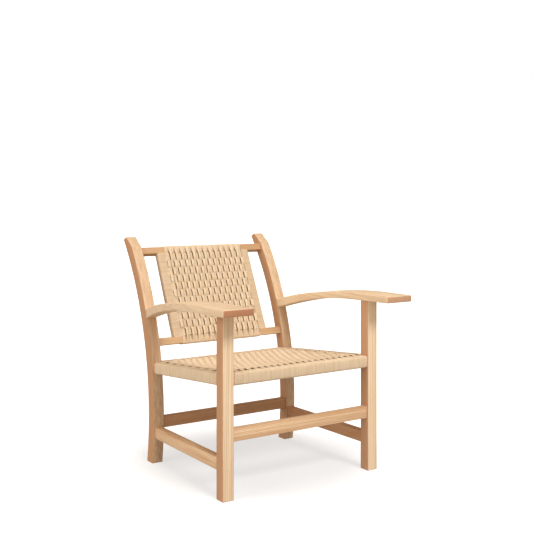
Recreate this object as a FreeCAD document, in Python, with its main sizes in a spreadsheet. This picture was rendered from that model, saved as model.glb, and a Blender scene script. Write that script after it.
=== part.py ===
import FreeCAD, Part
import math
import os
import re

import Sketcher

os.makedirs("parts", exist_ok=True)

# A low wooden armchair with a seat and a back of woven cord.
# +X is the sitter's left-hand side, +Y is the rear, +Z is up.
# The origin is on the floor, in the middle of the chair's width and depth.
# Places along Y are drawn from the front face of the front legs.

SIZES = {
    "cord_diameter": 2.9,
    "joint_clearance": 0.2,
    "overrun": 6,
    "tenon_thickness": 10,
    "tenon_shoulder": 4,
    "tenon_length": 20,
    # Front legs and rear posts
    "leg_outer_x": 294.2,
    "leg_width": 38,
    "foot_chamfer": 2.5,
    "post_outer_x": 287.6,
    "post_width": 36.9,
    "post_depth": 39,
    "post_foot_y": 464.8,
    "post_bow_radius": 1014,
    "post_bow_z": 150,
    "post_height": 748,
    "post_front_drop": 32,
    "post_rear_drop": 10,
    "post_ridge_inset": 26,
    # Arms
    "arm_overhang": 100.9,
    "arm_outer_x": 354.2,
    "arm_top_z": 574.6,
    "arm_thickness": 20.7,
    "arm_arch_y": 15,
    "arm_top_radius": 1980,
    "arm_under_slope": 1.12,
    "arm_under_arch_y": 65,
    "arm_under_radius": 1620,
    "arm_edge_radius": 2.5,
    "leg_tenon_width": 22,
    "leg_tenon_height": 14,
    "dowel_diameter": 8,
    "dowel_length": 40,
    "dowel_spacing": 18,
    "dowel_slope": 17,
    # Stretchers
    "stretcher_thickness": 22,
    "side_stretcher_thickness": 27.5,
    "stretcher_inset": 4.6,
    "front_stretcher_z": 170.9,
    "front_stretcher_height": 38.3,
    "rear_stretcher_z": 115.8,
    "rear_stretcher_height": 38,
    "side_stretcher_z": 84.6,
    "side_stretcher_height": 35.7,
    # Seat rails, measured over their cord
    "seat_front_z": 374,
    "seat_rear_z": 334,
    "seat_rail_height": 39,
    "seat_rail_depth": 30,
    "seat_rail_radius": 8,
    "seat_rail_inset": 5,
    "side_tenon_length": 14,
    "rear_tenon_offset": 4,
    "wrap_gap": 4,
    # Seat weave
    "weave_thickness": 10,
    "weave_drop": 3,
    "seat_sag": 16.5,
    "seat_edge_sag": 1.5,
    # Back frame: front faces of the bare rails
    "back_rail_height": 25,
    "back_rail_depth": 25,
    "back_low_share": 0.158,
    "back_low_inset": 6.4,
    "back_low_tilt": 14.7,
    "back_top_drop": 47.2,
    "back_top_inset": 9.7,
    "back_top_tilt": 26.5,
    "back_weave_width": 319,
    "stile_width": 32,
    "stile_depth": 23,
    "stile_radius": 7,
    "stile_set_back": 0.5,
    "stile_tenon_length": 9,
    # Tacks that hold the cord's ends
    "tack_head": 7,
    "tack_head_height": 1,
    "tack_shank": 2,
    "tack_length": 12,
    "tack_spacing": 300,
}

# Where the seat's sag is drawn, and how deep it is there, as shares of the half width and the sag
SAG_SHARES = [(-1, 0), (-0.72, 0.72), (0, 1), (0.72, 0.72), (1, 0)]

doc = FreeCAD.newDocument("armchair")
sheet = doc.addObject("Spreadsheet::Sheet", "sizes")
for row, (name, size) in enumerate(SIZES.items(), 1):
    sheet.set(f"A{row}", name)
    sheet.set(f"B{row}", str(size))
    sheet.setAlias(f"B{row}", name)
doc.recompute()

nodes = []


def bound(formula):
    """The formula with each size's name read from the sheet."""
    return re.sub(r"[a-z]\w*", lambda word: "sizes." + word[0] if word[0] in SIZES else word[0], formula)


def value(formula):
    return float(sheet.evalExpression(bound(formula)))


def bind(thing, **formulas):
    for name, formula in formulas.items():
        thing.setExpression(name, bound(formula))


def place(thing, x, y, z):
    """The thing's own origin, with Y drawn from the front face of the front legs."""
    thing.setExpression("Placement.Base.x", bound(x))
    thing.setExpression("Placement.Base.y", bound(f"{y} + {LEG_FRONT}"))
    thing.setExpression("Placement.Base.z", bound(z))


def lean(thing, tilt):
    """Turns the thing about X, its top to the rear."""
    thing.Placement = FreeCAD.Placement(FreeCAD.Vector(), FreeCAD.Rotation(FreeCAD.Vector(1, 0, 0), 1))
    thing.setExpression("Placement.Rotation.Angle", bound(f"-({tilt})"))


def node(label, thing):
    thing.Label = label
    nodes.append(thing)
    return thing


# Places that several pieces share

BOW_Y = "(post_foot_y + sqrt(post_bow_radius^2 - post_bow_z^2))"
POST_TOP_Z = "(post_height - post_rear_drop)"


def front_of_post(z):
    return f"({BOW_Y} - sqrt(post_bow_radius^2 - ({z} - post_bow_z)^2))"


def rear_of_post(z):
    return f"({BOW_Y} - sqrt((post_bow_radius - post_depth)^2 - ({z} - post_bow_z)^2))"


LEG_FRONT = f"(arm_overhang - {rear_of_post(POST_TOP_Z)}) / 2"
LEG_INNER = "(leg_outer_x - leg_width)"
POST_INNER = "(post_outer_x - post_width)"
LEG_X = "(leg_outer_x - leg_width / 2)"
POST_X = "(post_outer_x - post_width / 2)"
REAR_RAIL_Y = f"({front_of_post('seat_rear_z')} + seat_rail_inset + seat_rail_depth / 2)"


def under_arm(y):
    """Height of the arm's straight underside."""
    return f"(arm_top_z - arm_thickness - tan(arm_under_slope) * ({y} + arm_overhang))"


def seat_top(y):
    """Height of the seat rails' top, over the cord."""
    return (f"(seat_front_z - (seat_front_z - seat_rear_z) * ({y} - seat_rail_depth / 2)"
            f" / ({REAR_RAIL_Y} - seat_rail_depth / 2))")


def side_x(y, thickness, inset):
    """Middle of a side piece, between the outer faces of leg and post."""
    return f"(leg_outer_x - (leg_outer_x - post_outer_x) * {y} / post_foot_y - {inset} - {thickness} / 2)"


# Drawing

PLANES = {"X": "YZ_Plane", "Y": "XZ_Plane", "Z": "XY_Plane"}


def new_body(label):
    body = doc.addObject("PartDesign::Body", label)
    place(body, "0", "0", "0")
    return body


def arc(start, end, radius, centre_left):
    """The short arc from start to end, with its centre to the left or right of the way."""
    chord = end - start
    rise = math.sqrt(radius ** 2 - chord.Length ** 2 / 4)
    aside = FreeCAD.Vector(-chord.y, chord.x, 0).normalize() * rise
    centre = (start + end) / 2 + (aside if centre_left else -aside)
    circle = Part.Circle(centre, FreeCAD.Vector(0, 0, 1), radius)
    ends = (start, end) if centre_left else (end, start)
    return Part.ArcOfCircle(circle, circle.parameter(ends[0]), circle.parameter(ends[1]))


def outline(body, axis, offset, corners):
    """A closed sketch across the axis. A corner is (across, up), or (across, up, radius, side) where
    the edge that follows it is an arc with its centre on that side."""
    sketch = body.newObject("Sketcher::SketchObject", body.Name + "_sketch")
    plane = [part for part in body.Origin.OriginFeatures if part.Role == PLANES[axis]][0]
    sketch.AttachmentSupport = [(plane, "")]
    sketch.MapMode = "FlatFace"
    away = f"-({offset})" if axis == "Y" else offset
    sketch.setExpression("AttachmentOffset.Base.z", bound(away))
    points = [FreeCAD.Vector(value(corner[0]), value(corner[1]), 0) for corner in corners]
    starts = []
    for this, corner in enumerate(corners):
        start, end = points[this], points[(this + 1) % len(points)]
        if len(corner) == 2:
            sketch.addGeometry(Part.LineSegment(start, end), False)
            starts.append((1, 2))
        else:
            sketch.addGeometry(arc(start, end, value(corner[2]), corner[3] == "left"), False)
            starts.append((1, 2) if corner[3] == "left" else (2, 1))
    for this, corner in enumerate(corners):
        after = (this + 1) % len(corners)
        meeting = Sketcher.Constraint("Coincident", this, starts[this][1], after, starts[after][0])
        sketch.addConstraint(meeting)
        for kind, formula in (("DistanceX", corner[0]), ("DistanceY", corner[1])):
            rule = Sketcher.Constraint(kind, this, starts[this][0], value(formula))
            sketch.setExpression(f"Constraints[{sketch.addConstraint(rule)}]", bound(formula))
        if len(corner) == 4:
            rule = Sketcher.Constraint("Radius", this, value(corner[2]))
            sketch.setExpression(f"Constraints[{sketch.addConstraint(rule)}]", bound(corner[2]))
    return sketch


def pad(body, sketch, length):
    feature = body.newObject("PartDesign::Pad", body.Name + "_pad")
    feature.Profile = sketch
    bind(feature, Length=length)
    return feature


def section(across, up, width, height, radius):
    """Corners of a rounded rectangle about its middle."""
    left, right = f"({across} - {width} / 2)", f"({across} + {width} / 2)"
    low, high = f"({up} - {height} / 2)", f"({up} + {height} / 2)"
    if radius is None:
        return [(left, low), (right, low), (right, high), (left, high)]
    return [(f"{left} + {radius}", low), (f"{right} - {radius}", low, radius, "left"),
            (right, f"{low} + {radius}"), (right, f"{high} - {radius}", radius, "left"),
            (f"{right} - {radius}", high), (f"{left} + {radius}", high, radius, "left"),
            (left, f"{high} - {radius}"), (left, f"{low} + {radius}", radius, "left")]


def bar(label, axis, ends, width, height, radius=None):
    """A bar along the axis. Each end is (offset, across, up) of the section's middle."""
    body = new_body(label)
    sketches = [outline(body, axis, offset, section(across, up, width, height, radius))
                for offset, across, up in ends]
    loft = body.newObject("PartDesign::AdditiveLoft", label + "_loft")
    loft.Profile = sketches[0]
    loft.Sections = sketches[1:]
    loft.Ruled = True
    body.Tip = loft
    return body


def block(label, frame, corner, size, grow="0"):
    """A box in a frame (y, z, tilt) that leans back by its tilt, grown on every side."""
    y, z, tilt = frame
    across, deep, high = (f"({part} - {grow})" for part in corner)
    box = doc.addObject("Part::Box", label)
    lean(box, tilt)
    place(box, across, f"({y} + {deep} * cos({tilt}) + {high} * sin({tilt}))",
          f"{z} - {deep} * sin({tilt}) + {high} * cos({tilt})")
    bind(box, Length=f"{size[0]} + 2 * {grow}", Width=f"{size[1]} + 2 * {grow}",
         Height=f"{size[2]} + 2 * {grow}")
    return box


def rod(label, axis, frame, at, radius, length):
    """A cylinder along the axis of a frame, from a point given in that frame."""
    y, z, tilt = frame
    x, deep, high = at
    cylinder = doc.addObject("Part::Cylinder", label)
    if axis == "X":
        turn = FreeCAD.Rotation(FreeCAD.Vector(0, 1, 0), 90)
        cylinder.Placement = FreeCAD.Placement(FreeCAD.Vector(), turn)
    else:
        lean(cylinder, f"90 + {tilt}" if axis == "Y" else tilt)
    place(cylinder, x, f"({y} + {deep} * cos({tilt}) + {high} * sin({tilt}))",
          f"{z} - {deep} * sin({tilt}) + {high} * cos({tilt})")
    bind(cylinder, Radius=radius, Height=length)
    return cylinder


def mirrored(label, thing):
    copy = doc.addObject("Part::Mirroring", label)
    copy.Source = thing
    copy.Normal = (1, 0, 0)
    return copy


def fused(label, things):
    if len(things) == 1:
        return things[0]
    union = doc.addObject("Part::MultiFuse", label)
    union.Shapes = things
    union.Refine = True
    return union


def less(label, base, tools):
    """The base with the tools cut away."""
    result = doc.addObject("Part::Cut", label)
    result.Base = base
    result.Tool = fused(label + "_tools", tools)
    return result


LEVEL = ("0", "0", "0")


def tenon(label, frame, corner, size):
    """A tenon and the space that it needs in the piece that takes it."""
    space = block(label + "_mortise", frame, corner, size, "joint_clearance")
    return block(label, frame, corner, size), space


# The posts' front faces, as one cylinder that shapes whatever butts against them
post_front = rod("post_front", "X", (BOW_Y, "post_bow_z", "0"), ("-arm_outer_x", "0", "0"),
                 "post_bow_radius", "2 * arm_outer_x")


# Front stretcher
def crosspiece(label, front_y, low_z, height, half_length):
    """A plain stretcher between two uprights, with a tenon at each end."""
    wood = bar(label + "_bar", "X",
               [(f"-{half_length}", f"({front_y} + stretcher_thickness / 2)", f"({low_z} + {height} / 2)"),
                (half_length, f"({front_y} + stretcher_thickness / 2)", f"({low_z} + {height} / 2)")],
               "stretcher_thickness", height)
    ends, hole = tenon(label + "_tenons", LEVEL,
                       (f"(-{half_length} - tenon_length)",
                        f"({front_y} + stretcher_thickness / 2 - tenon_thickness / 2)",
                        f"({low_z} + tenon_shoulder)"),
                       (f"2 * ({half_length} + tenon_length)", "tenon_thickness",
                        f"({height} - 2 * tenon_shoulder)"))
    return node(label, fused(label, [wood, ends])), hole


front_stretcher, front_stretcher_hole = crosspiece(
    "front_stretcher", "stretcher_inset", "front_stretcher_z", "front_stretcher_height", LEG_INNER)

# Rear stretcher
rear_stretcher, rear_stretcher_hole = crosspiece(
    "rear_stretcher", f"({front_of_post('post_bow_z')} + stretcher_inset)", "rear_stretcher_z",
    "rear_stretcher_height", POST_INNER)


# Side pieces run from the leg's rear face to the post's curved front face
def side_piece(label, thickness, height, inset, top, radius=None):
    """The wood, shaped to the post, its two tenons and the two spaces for them."""
    far = f"({front_of_post('post_bow_z')} + post_depth)"
    long_bar = bar(label + "_bar", "Y",
                   [("leg_width", side_x("leg_width", thickness, inset), f"({top('leg_width')} - {height} / 2)"),
                    (far, side_x(far, thickness, inset), f"({top(far)} - {height} / 2)")],
                   thickness, height, radius)
    wood = less(label + "_wood", long_bar, [post_front])
    pieces, holes = [wood], []
    meets = front_of_post(f"({top('post_foot_y')} - {height} / 2)")
    for name, y, root in (("front", "leg_width", "(leg_width - side_tenon_length)"),
                          ("rear", meets, f"({meets} - overrun - tenon_shoulder)")):
        peg, hole = tenon(f"{label}_{name}_tenon", LEVEL,
                          (f"({side_x(y, thickness, inset)} - tenon_thickness / 2)", root,
                           f"({top(y)} - {height} + 2 * tenon_shoulder)"),
                          ("tenon_thickness", "(side_tenon_length + overrun + tenon_shoulder)",
                           f"({height} - 4 * tenon_shoulder)"))
        pieces.append(peg)
        holes.append(hole)
    return fused(label, pieces), holes


# Side stretchers
side_stretcher, side_stretcher_holes = side_piece(
    "side_stretcher_left", "side_stretcher_thickness", "side_stretcher_height", "stretcher_inset",
    lambda y: "(side_stretcher_z + side_stretcher_height)")
node("side_stretcher_left", side_stretcher)
node("side_stretcher_right", mirrored("side_stretcher_right", side_stretcher))

# Seat side rails: the wood is smaller than the wrapped rail by one cord all round
WOOD_DEPTH = "(seat_rail_depth - 2 * cord_diameter)"
WOOD_HEIGHT = "(seat_rail_height - 2 * cord_diameter)"
WOOD_RADIUS = "(seat_rail_radius - cord_diameter)"
side_rail, side_rail_holes = side_piece(
    "seat_side_rail_left", WOOD_DEPTH, WOOD_HEIGHT, "(seat_rail_inset + cord_diameter)",
    lambda y: f"({seat_top(y)} - cord_diameter)", WOOD_RADIUS)
node("seat_side_rail_left", side_rail)
node("seat_side_rail_right", mirrored("seat_side_rail_right", side_rail))

wrap_starts = "(leg_width + wrap_gap)"
wrap_ends = f"({front_of_post('(seat_rear_z - seat_rail_height)')} - wrap_gap)"


def side_places(offsets):
    return [(y, side_x(y, "seat_rail_depth", "seat_rail_inset"), f"({seat_top(y)} - seat_rail_height / 2)")
            for y in offsets]


side_wrap = less("seat_side_wrap_left",
                 bar("seat_side_wrap_bar", "Y", side_places([wrap_starts, wrap_ends]),
                     "seat_rail_depth", "seat_rail_height", "seat_rail_radius"), [side_rail])
node("seat_side_wrap_left", side_wrap)
node("seat_side_wrap_right", mirrored("seat_side_wrap_right", side_wrap))


# Seat front and rear rails
def cross_rail(label, middle_y, top_z, half_length, tenon_offset):
    """A wrapped rail between two uprights: the wood, the sleeve of cord, the space for the tenons."""
    middle_z = f"({top_z} - seat_rail_height / 2)"
    body = bar(label + "_bar", "X",
               [(f"-{half_length}", middle_y, middle_z), (half_length, middle_y, middle_z)],
               WOOD_DEPTH, WOOD_HEIGHT, WOOD_RADIUS)
    ends, hole = tenon(label + "_tenons", LEVEL,
                       (f"(-{half_length} - tenon_length)",
                        f"({middle_y} + {tenon_offset} - tenon_thickness / 2)",
                        f"({middle_z} - {WOOD_HEIGHT} / 2 + tenon_shoulder)"),
                       (f"2 * ({half_length} + tenon_length)", "tenon_thickness",
                        f"({WOOD_HEIGHT} - 2 * tenon_shoulder)"))
    reach = f"({half_length} - wrap_gap)"
    sleeve = bar(label + "_sleeve", "X", [(f"-{reach}", middle_y, middle_z), (reach, middle_y, middle_z)],
                 "seat_rail_depth", "seat_rail_height", "seat_rail_radius")
    wood = fused(label + "_wood", [body, ends])
    return wood, sleeve, hole


front_wood, front_sleeve, front_rail_hole = cross_rail(
    "seat_front_rail", "seat_rail_depth / 2", "seat_front_z", LEG_INNER, "0")
rear_wood, rear_sleeve, rear_rail_hole = cross_rail(
    "seat_rear_rail", REAR_RAIL_Y, "seat_rear_z", POST_INNER, "rear_tenon_offset")


# Flat-headed tacks, their heads flush with the wood and hidden under the cord
def tacks(label, axis, frame, head_at, shank_at):
    """Two tacks in a rail. The places (deep, high) are where the head and the shank start."""
    pins = []
    for count, side in enumerate(("-", ""), 1):
        name = f"{label}_{count}"
        across = f"{side}tack_spacing / 2"
        head = rod(name + "_head", axis, frame, (across, *head_at), "tack_head / 2", "tack_head_height")
        shank = rod(name + "_shank", axis, frame, (across, *shank_at), "tack_shank / 2", "tack_length")
        pins.append(fused(name, [head, shank]))
    return pins


seat_tacks = []
for label, wood, sleeve, top_z, middle_y in (
        ("seat_front_rail", front_wood, front_sleeve, "seat_front_z", "(seat_rail_depth / 2)"),
        ("seat_rear_rail", rear_wood, rear_sleeve, "seat_rear_z", REAR_RAIL_Y)):
    wood_underside = (middle_y, f"({top_z} - seat_rail_height + cord_diameter)")
    pins = tacks(label + "_tack", "Z", LEVEL, wood_underside, wood_underside)
    seat_tacks += pins
    node(label, less(label, wood, pins))
    node(label.replace("rail", "wrap"), less(label.replace("rail", "wrap"), sleeve, [wood]))

# Back rails, each in a frame at the middle of its front face. The bottom rail's height is a share of the
# way from the seat's rear rail up to the posts' tops.
BACK_LOW_Z = "(seat_rear_z + back_low_share * (post_height - seat_rear_z))"
BACK_TOP_Z = "(post_height - back_top_drop)"
LOW_FRAME = (f"({front_of_post(BACK_LOW_Z)} + back_low_inset)", BACK_LOW_Z, "back_low_tilt")
TOP_FRAME = (f"({front_of_post(BACK_TOP_Z)} + back_top_inset)", BACK_TOP_Z, "back_top_tilt")
BACK_LEAN = (f"atan(({TOP_FRAME[0]} - {LOW_FRAME[0]} + back_rail_height / 2 * (sin(back_top_tilt)"
             f" + sin(back_low_tilt))) / ({BACK_TOP_Z} - {BACK_LOW_Z} + back_rail_height / 2"
             f" * (cos(back_top_tilt) + cos(back_low_tilt))))")
STILE_X = "(back_weave_width / 2 + stile_width / 2)"


def leaning_bar(label, frame, reach, deep, high, depth, height, radius=None):
    """A bar along X in a leaning frame, from -reach to reach."""
    y, z, tilt = frame
    body = bar(label, "X", [(f"-{reach}", deep, high), (reach, deep, high)], depth, height, radius)
    lean(body, tilt)
    place(body, "0", y, z)
    return body


def back_frame_piece(label, frame):
    """A bare back rail with its tenons, and the space for them."""
    middle = "(back_rail_depth / 2)"
    body = leaning_bar(label + "_bar", frame, POST_INNER, middle, "0", "back_rail_depth", "back_rail_height")
    ends, hole = tenon(label + "_tenons", frame,
                       (f"(-{POST_INNER} - tenon_length)", f"({middle} - tenon_thickness / 2)",
                        "(tenon_shoulder - back_rail_height / 2)"),
                       (f"2 * ({POST_INNER} + tenon_length)", "tenon_thickness",
                        "(back_rail_height - 2 * tenon_shoulder)"))
    return fused(label + "_wood", [body, ends]), hole


low_wood, low_hole = back_frame_piece("back_bottom_rail", LOW_FRAME)
top_wood, top_hole = back_frame_piece("back_top_rail", TOP_FRAME)

# The stiles' frame: on the line between the rails' front faces, leaning as that line does
STILE_FRAME = (LOW_FRAME[0], BACK_LOW_Z, BACK_LEAN)
STILE_RUN = f"sqrt(({TOP_FRAME[0]} - {LOW_FRAME[0]})^2 + ({BACK_TOP_Z} - {BACK_LOW_Z})^2)"


def stile_bar(label, width, depth, radius, low, high):
    """A bar up the stile's frame, between two heights in it."""
    deep = "(stile_set_back + stile_depth / 2)"
    body = bar(label, "Z", [(low, STILE_X, deep), (high, STILE_X, deep)], width, depth, radius)
    lean(body, BACK_LEAN)
    place(body, "0", LOW_FRAME[0], BACK_LOW_Z)
    return body


low_band = leaning_bar("low_band", LOW_FRAME, POST_INNER, "(back_rail_depth / 2)", "0",
                       "(back_rail_depth * 2)", "back_rail_height")
top_band = leaning_bar("top_band", TOP_FRAME, POST_INNER, "(back_rail_depth / 2)", "0",
                       "(back_rail_depth * 2)", "back_rail_height")
STILE_WOOD = ("(stile_width - 2 * cord_diameter)", "(stile_depth - 2 * cord_diameter)",
              "(stile_radius - cord_diameter)")
stile_shaft = less("back_stile_shaft", stile_bar("back_stile_bar", *STILE_WOOD, "0", STILE_RUN),
                   [low_band, top_band])
STILE_TENON_LOW = "(back_rail_height / 2 - stile_tenon_length)"
stile_peg, stile_hole = tenon(
    "back_stile_tenon", STILE_FRAME,
    (f"({STILE_X} - tenon_thickness / 2)", "(stile_set_back + stile_depth / 2 - tenon_thickness / 2)",
     STILE_TENON_LOW),
    ("tenon_thickness", "tenon_thickness", f"({STILE_RUN} - 2 * {STILE_TENON_LOW})"))
stile = node("back_stile_left", fused("back_stile_left", [stile_shaft, stile_peg]))
node("back_stile_right", mirrored("back_stile_right", stile))

low_wrap_band = leaning_bar(
    "low_wrap_band", LOW_FRAME, POST_INNER, "(back_rail_depth / 2)", "0",
    "(back_rail_depth * 2)", "(back_rail_height + 2 * cord_diameter)")
top_wrap_band = leaning_bar(
    "top_wrap_band", TOP_FRAME, POST_INNER, "(back_rail_depth / 2)", "0",
    "(back_rail_depth * 2)", "(back_rail_height + 2 * cord_diameter)")
stile_wrap = less("back_stile_wrap_left",
                  stile_bar("back_stile_sleeve", "stile_width", "stile_depth", "stile_radius", "0", STILE_RUN),
                  [stile, low_wrap_band, top_wrap_band])
node("back_stile_wrap_left", stile_wrap)
node("back_stile_wrap_right", mirrored("back_stile_wrap_right", stile_wrap))

back_tacks = []
stile_hole_right = mirrored("back_stile_hole_right", stile_hole)
for label, wood, frame in (("back_bottom_rail", low_wood, LOW_FRAME), ("back_top_rail", top_wood, TOP_FRAME)):
    pins = tacks(label + "_tack", "Y", frame, ("(back_rail_depth - tack_head_height)", "0"),
                 ("(back_rail_depth - tack_length)", "0"))
    back_tacks += pins
    node(label, less(label, wood, [stile_hole, stile_hole_right] + pins))
    sleeve = leaning_bar(label + "_sleeve", frame, "(back_weave_width / 2)", "(back_rail_depth / 2)", "0",
                         "(back_rail_depth + 2 * cord_diameter)", "(back_rail_height + 2 * cord_diameter)",
                         "(2 * cord_diameter)")
    node(label.replace("rail", "wrap"), less(label.replace("rail", "wrap"), sleeve, [wood]))

# Front legs, their tops following the underside of the arms
leg_blank = new_body("front_leg_blank")
pad(leg_blank, outline(leg_blank, "X", LEG_INNER,
                       [("0", "0"), ("leg_width", "0"), ("leg_width", under_arm("leg_width")),
                        ("0", under_arm("0"))]), "leg_width")
leg_tenon, leg_tenon_hole = tenon(
    "front_leg_tenon", LEVEL,
    (f"({LEG_X} - leg_tenon_width / 2)", "(leg_width / 2 - leg_tenon_width / 2)",
     f"({under_arm('leg_width')} - overrun)"),
    ("leg_tenon_width", "leg_tenon_width", "(leg_tenon_height + overrun)"))
doc.recompute()


def foot(label, thing):
    """The thing with the edges round its foot bevelled."""
    bevel = doc.addObject("Part::Chamfer", label)
    bevel.Base = thing
    size = value("foot_chamfer")
    low = [count for count, edge in enumerate(thing.Shape.Edges, 1) if edge.BoundBox.ZMax < size / 2]
    bevel.Edges = [(count, size, size) for count in low]
    return bevel


leg = less("front_leg_left", fused("front_leg_wood", [foot("front_leg_foot", leg_blank), leg_tenon]),
           [front_rail_hole, front_stretcher_hole, side_rail_holes[0], side_stretcher_holes[0]])
node("front_leg_left", leg)
node("front_leg_right", mirrored("front_leg_right", leg))

# Arms: straight inside, flared outside, arched towards the posts
ARM_REACH = "(post_foot_y + 4 * post_depth)"
ARM_WIDTH = f"(arm_outer_x - {POST_INNER})"
ARM_END = front_of_post("(arm_top_z - 4 * arm_thickness)")
UNDER_Y = "(arm_under_arch_y - arm_under_radius * sin(arm_under_slope))"
UNDER_Z = f"({under_arm('arm_under_arch_y')} - arm_under_radius * cos(arm_under_slope))"
arm_blank = new_body("arm_blank")
pad(arm_blank, outline(arm_blank, "X", POST_INNER, [
    ("-arm_overhang", under_arm("-arm_overhang")),
    ("arm_under_arch_y", under_arm("arm_under_arch_y"), "arm_under_radius", "right"),
    (ARM_REACH, f"({UNDER_Z} + sqrt(arm_under_radius^2 - ({ARM_REACH} - {UNDER_Y})^2))"),
    (ARM_REACH, f"(arm_top_z - arm_top_radius + sqrt(arm_top_radius^2 - ({ARM_REACH} - arm_arch_y)^2))",
     "arm_top_radius", "left"),
    ("arm_arch_y", "arm_top_z"),
    ("-arm_overhang", "arm_top_z")]), ARM_WIDTH)
FLARE = "(arm_outer_x - post_outer_x)"
FLARE_RADIUS = f"(({ARM_END}^2 + {FLARE}^2) / (2 * {FLARE}))"
FLARE_X = f"(arm_outer_x - {FLARE_RADIUS} + sqrt({FLARE_RADIUS}^2 - {ARM_REACH}^2))"
flare = new_body("arm_flare")
pad(flare, outline(flare, "Z", "0", [
    ("arm_outer_x", "0"),
    ("(arm_outer_x + overrun)", "0"),
    ("(arm_outer_x + overrun)", ARM_REACH),
    (FLARE_X, ARM_REACH, FLARE_RADIUS, "right")]), "arm_top_z + overrun")
arm_plank = less("arm_plank", arm_blank, [flare, post_front])
doc.recompute()


def eased(label, thing):
    """The thing with all edges rounded that don't lie on the post's face."""
    soft = doc.addObject("Part::Fillet", label)
    soft.Base = thing
    radius = value("arm_edge_radius")
    limit = value(f"{ARM_END} + {LEG_FRONT} - post_depth")
    free = [count for count, edge in enumerate(thing.Shape.Edges, 1)
            if edge.BoundBox.YMin < limit]
    soft.Edges = [(count, radius, radius) for count in free]
    return soft


DOWEL_Z = (f"(arm_top_z - arm_top_radius + sqrt(arm_top_radius^2 - ({ARM_END} - arm_arch_y)^2)"
           " - arm_thickness / 2)")
DOWEL_FRAME = (front_of_post(DOWEL_Z), DOWEL_Z, "dowel_slope")
dowels = [rod(f"arm_dowel_{count}", "Y", DOWEL_FRAME, (f"({POST_X} {side} dowel_spacing / 2)",
                                                      "(-dowel_length / 2)", "0"),
              "dowel_diameter / 2", "dowel_length") for count, side in enumerate("-+")]
arm = less("arm_left", eased("arm_eased", arm_plank), [leg_tenon_hole] + dowels)
node("arm_left", arm)
node("arm_right", mirrored("arm_right", arm))

# Rear posts: sawn to one long bow, bevelled at the top
post_blank = new_body("rear_post_blank")
pad(post_blank, outline(post_blank, "X", POST_INNER, [
    (front_of_post("0"), "0"),
    (rear_of_post("0"), "0", "(post_bow_radius - post_depth)", "right"),
    (rear_of_post(POST_TOP_Z), POST_TOP_Z),
    (f"({rear_of_post('post_height')} - post_ridge_inset)", "post_height"),
    (front_of_post("(post_height - post_front_drop)"), "(post_height - post_front_drop)",
     "post_bow_radius", "left")]), "post_width")
doc.recompute()
post = less("rear_post_left", foot("rear_post_foot", post_blank),
            [rear_rail_hole, rear_stretcher_hole, side_rail_holes[1], side_stretcher_holes[1],
             low_hole, top_hole] + dowels)
node("rear_post_left", post)
node("rear_post_right", mirrored("rear_post_right", post))


def group(label, things):
    """Identical small pieces that share one node."""
    compound = doc.addObject("Part::Compound", label)
    compound.Links = things
    return node(label, compound)


group("arm_dowels", dowels + [mirrored(dowel.Name + "_mirrored", dowel) for dowel in dowels])
group("seat_cord_tacks", seat_tacks)
group("back_cord_tacks", back_tacks)

# Seat weave: a slab that sags between the rails, deepest in the middle
SLAB_HALF = side_x("leg_width", "seat_rail_depth", "seat_rail_inset")
SLAB_FRONT = "seat_rail_depth"
SLAB_REAR = f"({REAR_RAIL_Y} - seat_rail_depth / 2)"
SLAB_CHORD = f"sqrt(({SLAB_REAR} - {SLAB_FRONT})^2 + ({seat_top(SLAB_FRONT)} - {seat_top(SLAB_REAR)})^2)"
slab = new_body("seat_slab")
slab_sketches = []
for across_share, sag_share in SAG_SHARES:
    sag = f"(seat_edge_sag + (seat_sag - seat_edge_sag) * {sag_share})"
    radius = f"({SLAB_CHORD}^2 / (8 * {sag}) + {sag} / 2)"
    slab_sketches.append(outline(slab, "X", f"{across_share} * {SLAB_HALF}", [
        (SLAB_FRONT, f"({seat_top(SLAB_FRONT)} - weave_drop - weave_thickness)", radius, "left"),
        (SLAB_REAR, f"({seat_top(SLAB_REAR)} - weave_drop - weave_thickness)"),
        (SLAB_REAR, f"({seat_top(SLAB_REAR)} - weave_drop)", radius, "right"),
        (SLAB_FRONT, f"({seat_top(SLAB_FRONT)} - weave_drop)")]))
slab_loft = slab.newObject("PartDesign::AdditiveLoft", "seat_slab_loft")
slab_loft.Profile = slab_sketches[0]
slab_loft.Sections = slab_sketches[1:]
slab_loft.Ruled = True
slab.Tip = slab_loft
side_block = bar("seat_side_block", "Y", side_places(["0", f"({SLAB_REAR} + seat_rail_depth)"]),
                 "seat_rail_depth", "(seat_rail_height * 3)")
side_blocks = [side_block, mirrored("seat_side_block_right", side_block)]
node("seat_woven_panel", less("seat_woven_panel", slab, side_blocks))

# Back weave: a flat slab between the wrapped stiles and rails
back_slab = block("back_slab", STILE_FRAME, ("(-back_weave_width / 2)", "stile_set_back", "0"),
                  ("back_weave_width", "weave_thickness", STILE_RUN))
node("back_woven_panel", less("back_woven_panel", back_slab, [low_wrap_band, top_wrap_band]))

doc.recompute()

faults = [thing.Name for thing in doc.Objects if {"Invalid", "Error"} & set(thing.State)]
for thing in nodes:
    if thing.Shape.isNull() or not thing.Shape.isValid():
        faults.append(thing.Label)
if faults:
    raise SystemExit("failed: " + ", ".join(faults))
for thing in nodes:
    thing.Shape.exportStep(f"parts/{thing.Label}.step")
    box = thing.Shape.BoundBox
    print(f"{thing.Label:22} solids {len(thing.Shape.Solids)} volume {thing.Shape.Volume:10.0f}"
          f" X {box.XMin:7.1f} {box.XMax:7.1f} Y {box.YMin:7.1f} {box.YMax:7.1f}"
          f" Z {box.ZMin:7.1f} {box.ZMax:7.1f}")
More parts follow.
